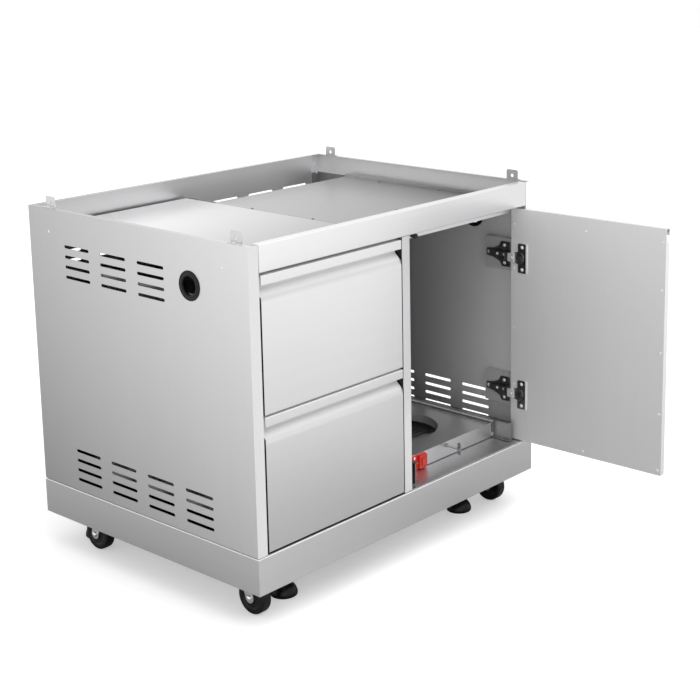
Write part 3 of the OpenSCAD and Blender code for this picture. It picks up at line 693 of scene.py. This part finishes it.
def screw_head(centre, axis, sign, radius=4.0, height=1.8):
    """A domed head with a cross sunk in it: the height over the plane is
    height (1 - (r / radius)^2), less a trough that follows the two arms of the cross."""
    r = np.linspace(0.02, 1, 15)[:, None]
    q = np.linspace(0, 2 * pi, 48, endpoint=False)[None, :]
    u, v = r * np.cos(q), r * np.sin(q)
    arm = np.minimum(np.abs(u), np.abs(v))
    up = height * (1 - r ** 2) - 0.35 * height * np.exp(-(arm / 0.11) ** 4) * (r < 0.62)
    grid = np.stack([u * radius, v * radius, np.maximum(up, 0)], -1).reshape(-1, 3)
    order = {0: (2, 0, 1), 1: (0, 2, 1), 2: (0, 1, 2)}[axis]
    points = grid[:, order]
    points[:, axis] *= sign
    rings, around = u.shape
    last = (rings - 1) * around
    faces = grid_faces(rings, around, wrap_columns=True)
    faces += [list(range(around)), list(range(last, last + around))]
    return points + np.asarray(centre, float), faces


TAB_HALF, TAB_HIGH, TAB_DEEP, TAB_SHEET = 16.5, 24.0, 12.0, 1.5
ears, feet = [], []
for y in (48.0, 643.0):
    for x, sign in ((15.0, 1), (WIDTH - 15.0, -1)):
        ear = rounded([(y - TAB_HALF, HEIGHT), (y + TAB_HALF, HEIGHT), (y + TAB_HALF, HEIGHT + TAB_HIGH),
                       (y - TAB_HALF, HEIGHT + TAB_HIGH)], 5.0, 6, closed=True)
        ears.append(holed(ear, (y, HEIGHT + 10), 4.0, x - TAB_SHEET / 2, x + TAB_SHEET / 2, 0))
        ends = sorted((x, x - sign * TAB_DEEP))
        foot = rectangle(ends[0], y - TAB_HALF, ends[1], y + TAB_HALF, 3.0)
        feet.append(extrude(foot, HEIGHT, HEIGHT + TAB_SHEET, 2))
        feet.append(screw_head((x - sign * 6.5, y, HEIGHT + TAB_SHEET), 2, 1, 3.6, 1.4))
points, faces = join(*ears, *feet)
make_mesh("rounded_tabs", points, faces, steel_base, "cabinet", 30, bevel=0.25,
          node="mounting_tabs")
print("four bolt tabs")

# %% [markdown]
# A concealed hinge has a dark cross-shaped mounting plate on the cabinet, a bright arm, and a
# dark cup let into the door, under a plate held by two screws.

# %% Hinges
HINGE_Z = (FRONT_LOW + 115, FRONT_LOW + 452)
HINGE_EDGE = DOOR_X + DOOR_W
MOUNT_FACE, SPINE_FACE = 888.6, 883.5
CUP_LOW, CUP_FACE = 15.02, 16.3
x, y = PIVOT
dark, light, cups, edges = [], [], [], []
for z in HINGE_Z:
    wing = rounded([(46, z - 30.5), (70, z - 30.5), (76, z - 19), (97, z - 11), (116, z - 9),
                    (116, z + 9), (97, z + 11), (78, z + 19), (73, z + 30.5), (46, z + 30.5)],
                   2.5, 4, closed=True)
    spine = rounded([(48, z - 8.4), (104, z - 6), (104, z + 6), (48, z + 8.4)], 3.0, 4, closed=True)
    neck = rounded([(x - 3.5, 37), (x - 1, 50), (SPINE_FACE + 0.1, 60), (SPINE_FACE + 0.1, 44),
                    (x + 3, 40), (x + 1, 37)], 1.5, 4, closed=True)
    dark += [extrude(wing, MOUNT_FACE, MOUNT_FACE + 2.8, 0),
             extrude(spine, SPINE_FACE, MOUNT_FACE + 0.2, 0), extrude(neck, z - 8.5, z + 8.5, 2)]

    arm = rounded([(x - 6.4, 17.9), (x - 6.4, 37), (x + 1.6, 41), (x + 1.6, 17.9)], 1.6, 4, closed=True)
    mount_screws = ((62, z + 21.5), (62, z - 21.5), (109, z))
    light += [screw_head((MOUNT_FACE, *at), 0, -1, 4.4, 2.4) for at in mount_screws]
    light += [screw_head((SPINE_FACE, back, z), 0, -1, 3.4, 1.6) for back in (60, 80)]
    light += [extrude(arm, z - 9.5, z + 9.5, 2),
              turned(dome_profile(3.4, 1.4, 0.8) * [1, -1], (x - 6.4, 25, z), 0, 32)]

    plate = rectangle(HINGE_EDGE - 43, z - 35.5, HINGE_EDGE - 19.9, z + 35.5, 3.0)
    rim = [(12.2, 5.8), (13.4, 5.8), (13.4, 14.9), (11.9, 14.9), (11.9, 7.0), (0.01, 7.0), (0.01, 5.8)]
    arch = smooth_profile([(9.8, 15.1), (15.2, 15.1), (15.2, 17.0), (13.2, 17.6), (9.8, 17.0)], 0.5)
    # painted highlight: a bright strip along the cup plate's edge
    edge = rectangle(HINGE_EDGE - 47.4, z - 35.3, HINGE_EDGE - 42.9, z + 35.3, 0.4)
    cups += [holed(plate, (HINGE_EDGE - 32.4, z), 10.5, CUP_LOW, CUP_FACE, 1, 96),
             turned(rim, (HINGE_EDGE - 33.5, 0, z), 1, 64),
             turned(arch, (HINGE_EDGE - 22.5, 0, z), 1, 64)]
    edges.append(extrude(edge, CUP_LOW, CUP_FACE + 0.1, 1))
    link = rectangle(HINGE_EDGE - 21.5, 15.1, HINGE_EDGE - 12.6, 16.4, 0.5)
    pin = [(0.01, -1.4), (2.8, -1.4), (2.8, 1.4), (0.01, 1.4)]
    for side in (-1, 1):
        middle = z + side * 11
        cups += [extrude(link, middle - 1.3, middle + 1.3, 2), turned(pin, (x, y, middle), 2, 24)]
        edges.append(screw_head((HINGE_EDGE - 32, CUP_FACE, z + side * 27), 1, 1, 4.2, 1.8))

points, faces = join(*dark)
make_mesh("hinge_mounts", points, faces, dark_nickel, "cabinet", 30, bevel=0.4,
          node="hinge_arms")
points, faces = join(*light)
make_mesh("hinge_bright_arms", points, faces, link_nickel, "cabinet", 30, bevel=0.3)
points, faces = join(*cups)
make_mesh("hinge_cup_plates", opened(points), faces, dark_nickel, "door", 30, bevel=0.25,
          node="hinge_cups")
# the strips are painted highlight; the screws on the plates are bright metal
points, faces = join(*edges)
make_mesh("hinge_cup_edges", opened(points), faces, polished, "door", 30, bevel=0.25)
print("two hinges")

# %% [markdown]
# The casters hang in pressed forks with teardrop legs. A domed nut closes each end of the axle.
# The door's catch is a small black button with a magnet in it.

# %% Forks, axles and the catch
RAIL_Z = 20.5
CROWN_LOW, CROWN_HIGH = RAIL_Z - 10, RAIL_Z - 5.4
FORK_HALF, FORK_SHEET, AXLE_R, AXLE_HALF = 15, 2.4, 4.99, 16.4
CATCH_X, CATCH_Z = 529, 645.6
axle_rod = [(0.01, -AXLE_HALF), (AXLE_R, -AXLE_HALF), (AXLE_R, AXLE_HALF), (0.01, AXLE_HALF)]
crown = smooth_profile([(4.5, CROWN_LOW), (22, CROWN_LOW), (22, CROWN_HIGH), (4.5, CROWN_HIGH)], 1.2)
nut = dome_profile(6.4, 4.2, 1.4)
for corner, (x, y) in CASTERS.items():
    way = -1 if corner.startswith("front") else 1
    swing = np.linspace(-0.16, pi + 0.16, 40) + pi
    bottom = np.stack([y + 11.8 * np.cos(swing), WHEEL_Z + 11.8 * np.sin(swing)], 1)
    pivot = y - way * 24
    top = np.array([(pivot + way * 19, RAIL_Z - 5.6), (pivot - way * 15, RAIL_Z - 5.6)])
    leg = np.vstack([bottom, top[np.argsort(-top[:, 0])]])
    fork = [holed(leg, (y, WHEEL_Z), 5.05, x + side - FORK_SHEET / 2, x + side + FORK_SHEET / 2, 0, 96)
            for side in (-FORK_HALF, FORK_HALF)]
    points, faces = join(*fork, turned(crown, (x, pivot, 0), 2, 72))
    make_mesh(corner + "_pressed_fork", points, faces, zinc, corner + "_swivel", 30,
              bevel=0.3, node=corner + "_fork")
    nuts = [turned(nut * [1, side], (x + side * (AXLE_HALF - 0.1), y, WHEEL_Z), 0, 40)
            for side in (-1, 1)]
    points, faces = join(*nuts, turned(axle_rod, (x, y, WHEEL_Z), 0, 40))
    make_mesh(corner + "_domed_axle", points, faces, bright, corner + "_swivel", 35,
              node=corner + "_axle")
catch = smooth_profile([(0.01, 31), (1.8, 31), (2.0, 31.9), (4.3, 31.9), (4.8, 31), (5.8, 31.6),
                        (5.8, 36), (4.5, 38), (4.5, 45.0), (0.01, 45.0)], 0.3)
points, faces = turned(catch, (CATCH_X, 0, CATCH_Z), 1, 48)
make_mesh("button_catch", points, faces, black_plastic, "cabinet", 30,
          node="magnet_catch")
print("forks, axles and the catch")

# %% [markdown]
# The wing bolt clamps the tank's foot ring. Its shank is a turned rod with a fine thread, and its
# two wings are flattened rounds. The red clip is a moulded plate with a raised, ribbed block.

# %% Wing bolt and red clip
TRAY_X, TRAY_Y, TRAY_W, TRAY_TOP = 515.0, 72.0, 333.0, 120.5
bolt_x, bolt_z = TRAY_X + 158, TRAY_TOP - 7


def rounded_lump(centre, half, power=2.6, steps=24):
    """A superellipsoid: |x/a|^p + |y/b|^p + |z/c|^p = 1, a soft-edged lump."""
    u = np.linspace(-pi / 2, pi / 2, steps + 1)[:, None]
    v = np.linspace(0, 2 * pi, 2 * steps, endpoint=False)[None, :]

    def swell(t):
        return np.sign(t) * np.abs(t) ** (2 / power)

    points = np.stack([swell(np.cos(u)) * swell(np.cos(v)), swell(np.cos(u)) * swell(np.sin(v)),
                       swell(np.sin(u)) + 0 * v], -1) * half + centre
    return points.reshape(-1, 3), grid_faces(steps + 1, 2 * steps, wrap_columns=True)


along = np.linspace(-11.5, 37.5, 320)
thread = np.stack([2.84 + 0.16 * np.cos(2 * pi * along), -along], 1)
shank = np.vstack([[(0.01, 11.5)], thread, [(0.01, -37.5)]])
knob = smooth_profile([(0.01, -37.5), (4.0, -37.5), (4.9, -46.8), (0.01, -46.8)], 1.0)
collar = smooth_profile([(2.4, -0.4), (4.9, -0.4), (4.9, -6.2), (2.4, -6.2)], 0.8)
bolt_parts = [turned(profile, (bolt_x, TRAY_Y, bolt_z), 1, 32) for profile in (shank, knob, collar)]
bolt_parts += [rounded_lump((bolt_x, TRAY_Y - 42.5, bolt_z + side * 8.5), (1.9, 5.4, 6.4))
               for side in (-1, 1)]
points, faces = join(*bolt_parts)
make_mesh("threaded_wing_bolt", points, faces, bolt_steel, "bolt", 40, node="wing_bolt")

clip_x, clip_z, RIB_STEP = TRAY_X + 38, TRAY_TOP - 36, 3.6
clip_plate = rectangle(clip_x, clip_z, clip_x + 46, clip_z + 34, 2.5)
clip_block = rectangle(clip_x + 18, clip_z + 1, clip_x + 44, clip_z + 33, 3.0)
clip_pad = rectangle(clip_x + 24, clip_z + 8, clip_x + 38, clip_z + 26, 2.0)
clip = [extrude(clip_plate, TRAY_Y - 2, TRAY_Y - 0.02, 1),
        extrude(clip_block, TRAY_Y - 9, TRAY_Y - 1, 1),
        extrude(clip_pad, TRAY_Y - 11.8, TRAY_Y - 8, 1)]
for z in clip_z + 10 + RIB_STEP * np.arange(5):
    rib = rectangle(clip_x + 25, z, clip_x + 37, z + 1.6, 0.6)
    clip.append(extrude(rib, TRAY_Y - 12, TRAY_Y - 11, 1))
points, faces = join(*clip)
make_mesh("ribbed_red_clip", points, faces, red_plastic, "tray", 30, bevel=0.6,
          node="red_clip")
print("wing bolt and clip")

# %% [markdown]
# The tray rides on channels with curled lips, and each of them runs in a wider one with two
# beads. The web lies deeper than the lips and is painted darker, as painted shade. A few screws,
# pressed dimples and a bent stop at the front end show from the side.

# %% Channels of the tray
CHANNEL_Y, CHANNEL_L, CHANNEL_Z = TRAY_Y, 400.0, 107.0
LIP_TOP, LIP_DOWN, BEAD_TOP = 18.8, 4.2, 20.45
SLIDE_WIDTH = 12.7


def at_channel(x, *backs):
    """Points on a channel's middle line, at so many millimetres behind its front end."""
    return [(x, CHANNEL_Y + back, CHANNEL_Z) for back in backs]


def lipped_channel(x, way):
    """The channel beside the tray: its section, stop, screws and dimples; way is -1 on the left."""
    line = np.array([(8.0, LIP_TOP - LIP_DOWN), (8.0, LIP_TOP), (0.6, LIP_TOP),
                     (0.6, -LIP_TOP), (8.0, -LIP_TOP), (8.0, LIP_DOWN - LIP_TOP)])
    section = band(rounded(line * [way, 1], 1.6), SHEET) + [x, CHANNEL_Z]
    stop = rounded([(0.7, -13), (7.0, -13), (7.0, 13), (0.7, 13)], 1.5, closed=True)
    stop = stop * [way, 1] + [x, CHANNEL_Z]
    face = x + way * 1.15
    dimple = dome_profile(3.2, 1.2, 0.3) * [1, way]
    return [extrude(section, CHANNEL_Y, CHANNEL_Y + CHANNEL_L, 1),
            extrude(stop, CHANNEL_Y + 5, CHANNEL_Y + 6.4, 1),
            *[screw_head(point, 0, way, 4.4, 2.2) for point in at_channel(face, 68, 230)],
            *[turned(dimple, point, 0, 32) for point in at_channel(face, 32, 46, 84)]]


def beaded_channel(x, way):
    """The wider channel around it: its section with two beads, and two screws; way is 1 on the left."""
    line = np.array([(9.4, BEAD_TOP), (2.6, BEAD_TOP), (2.6, 15), (3.9, 13.5),
                     (3.9, -13.5), (2.6, -15), (2.6, -BEAD_TOP), (9.4, -BEAD_TOP)])
    bends = [0, 2.2, 0.8, 0.8, 0.8, 0.8, 2.2, 0]
    section = band(rounded(line * [way, 1], bends), SHEET) + [x, CHANNEL_Z]
    return [extrude(section, CHANNEL_Y, CHANNEL_Y + CHANNEL_L, 1),
            *[screw_head(point, 0, -way, 4.4, 1.3) for point in at_channel(x + way * 3.35, 26, 150)]]


def web_faces(normals, centres):
    """The faces of a web: they look along X, and their centres lie at the channels' height."""
    return (np.abs(normals[:, 0]) > 0.99) & (np.abs(centres[:, 2] - CHANNEL_Z) < 0.1)


tray_right = TRAY_X + TRAY_W
points, faces = join(*lipped_channel(TRAY_X, -1), *lipped_channel(tray_right, 1))
lipped = make_mesh("tray_channel_slides", points, faces, link_nickel, "tray", 30,
                   node="tray_inner_slides")
normals, centres = face_facts(lipped)
beside = np.minimum(np.abs(centres[:, 0] - TRAY_X), np.abs(centres[:, 0] - tray_right))
# painted shade on the webs
paint(lipped, slide_painted_shade, (beside < 1.6) & web_faces(normals, centres))

points, faces = join(*beaded_channel(TRAY_X - SLIDE_WIDTH, 1),
                     *beaded_channel(tray_right + SLIDE_WIDTH, -1))
beaded = make_mesh("tray_beaded_slides", points, faces, link_nickel, "tray_mid", 30,
                   node="tray_mid_slides")
paint(beaded, slide_painted_shade, web_faces(*face_facts(beaded)))
print("two channels with lips, two with beads")

# %% [markdown]
# The studio is a plain pale floor under a wide soft sun and an even sky. To the camera the floor
# and the sky are white, as in the picture, and keep the cabinet's shadow. To everything else the
# floor is a calm grey, painted darker near the cabinet as painted shade, so the upright sheets fade
# from bright at their tops to grey at the base.

# %% Floor, sky and sun
CALM_FROM, CALM_OVER = 0.5, 2.4
AMBIENT, GLOSS, WHITE = 0.58, 1.0, 1.0


def studio_floor(half=14.0):
    """A flat square of floor, far wider than the cabinet."""
    mesh = bpy.data.meshes.new("floor")
    corners = [(-half, -half, 0), (half, -half, 0), (half, half, 0), (-half, half, 0)]
    mesh.from_pydata(corners, [], [(0, 1, 2, 3)])
    floor = bpy.data.objects.new("floor", mesh)
    scene.collection.objects.link(floor)
    finish = Finish("pale_floor")
    tree = finish.tree
    seen = finish.node("ShaderNodeBsdfDiffuse", values={"Color": (0.80, 0.80, 0.80, 1)})
    lift = finish.node("ShaderNodeEmission", values={"Color": (1, 1, 1, 1), "Strength": 0.40})
    both = finish.node("ShaderNodeAddShader", values={0: seen.outputs[0], 1: lift.outputs[0]})
    length = finish.node("ShaderNodeVectorMath", {"operation": "LENGTH"}, {0: finish.coords})
    spot = Value(tree, length.outputs["Value"])
    # painted shade: the calm grey is darker near the cabinet and lighter far away
    reach = ((spot - CALM_FROM) * (1 / CALM_OVER)).clamp()
    shade = finish.mix(reach, (0.60, 0.60, 0.60, 1), (0.92, 0.92, 0.92, 1))
    calm = finish.node("ShaderNodeBsdfDiffuse", values={"Color": shade})
    path = finish.node("ShaderNodeLightPath")
    choice = finish.node("ShaderNodeMixShader", values={
        0: path.outputs["Is Camera Ray"], 1: calm.outputs[0], 2: both.outputs[0]})
    tree.links.new(choice.outputs[0], tree.nodes["Material Output"].inputs["Surface"])
    tree.nodes.remove(finish.shader)
    mesh.materials.append(finish.material)


def soft_sun(towards, strength, angle):
    """A sun that shines from a direction, as wide as a large soft box."""
    data = bpy.data.lights.new("sun", "SUN")
    data.energy, data.angle = strength, radians(angle)
    sun = bpy.data.objects.new("sun", data)
    sun.rotation_euler = (-Vector(towards)).to_track_quat("-Z", "Y").to_euler()
    scene.collection.objects.link(sun)


studio_floor()
world = bpy.data.worlds.new("studio")
scene.world = world
world.use_nodes = True
nodes, links = world.node_tree.nodes, world.node_tree.links
path = nodes.new("ShaderNodeLightPath")
background = nodes["Background"]
background.inputs["Color"].default_value = (1, 1, 1, 1)
gloss = nodes.new("ShaderNodeMath")
gloss.operation = "MULTIPLY_ADD"
links.new(path.outputs["Is Glossy Ray"], gloss.inputs[0])
gloss.inputs[1].default_value, gloss.inputs[2].default_value = GLOSS - AMBIENT, AMBIENT
seen = nodes.new("ShaderNodeMath")
seen.operation = "MULTIPLY_ADD"
links.new(path.outputs["Is Camera Ray"], seen.inputs[0])
seen.inputs[1].default_value = WHITE - AMBIENT
links.new(gloss.outputs[0], seen.inputs[2])
links.new(seen.outputs[0], background.inputs["Strength"])
soft_sun((0.1, -0.45, 1.0), 1.5, 60)
soft_sun((-0.9, -0.6, 0.7), 0.6, 70)
scene.view_settings.view_transform = "Standard"
print("floor, sky and sun")
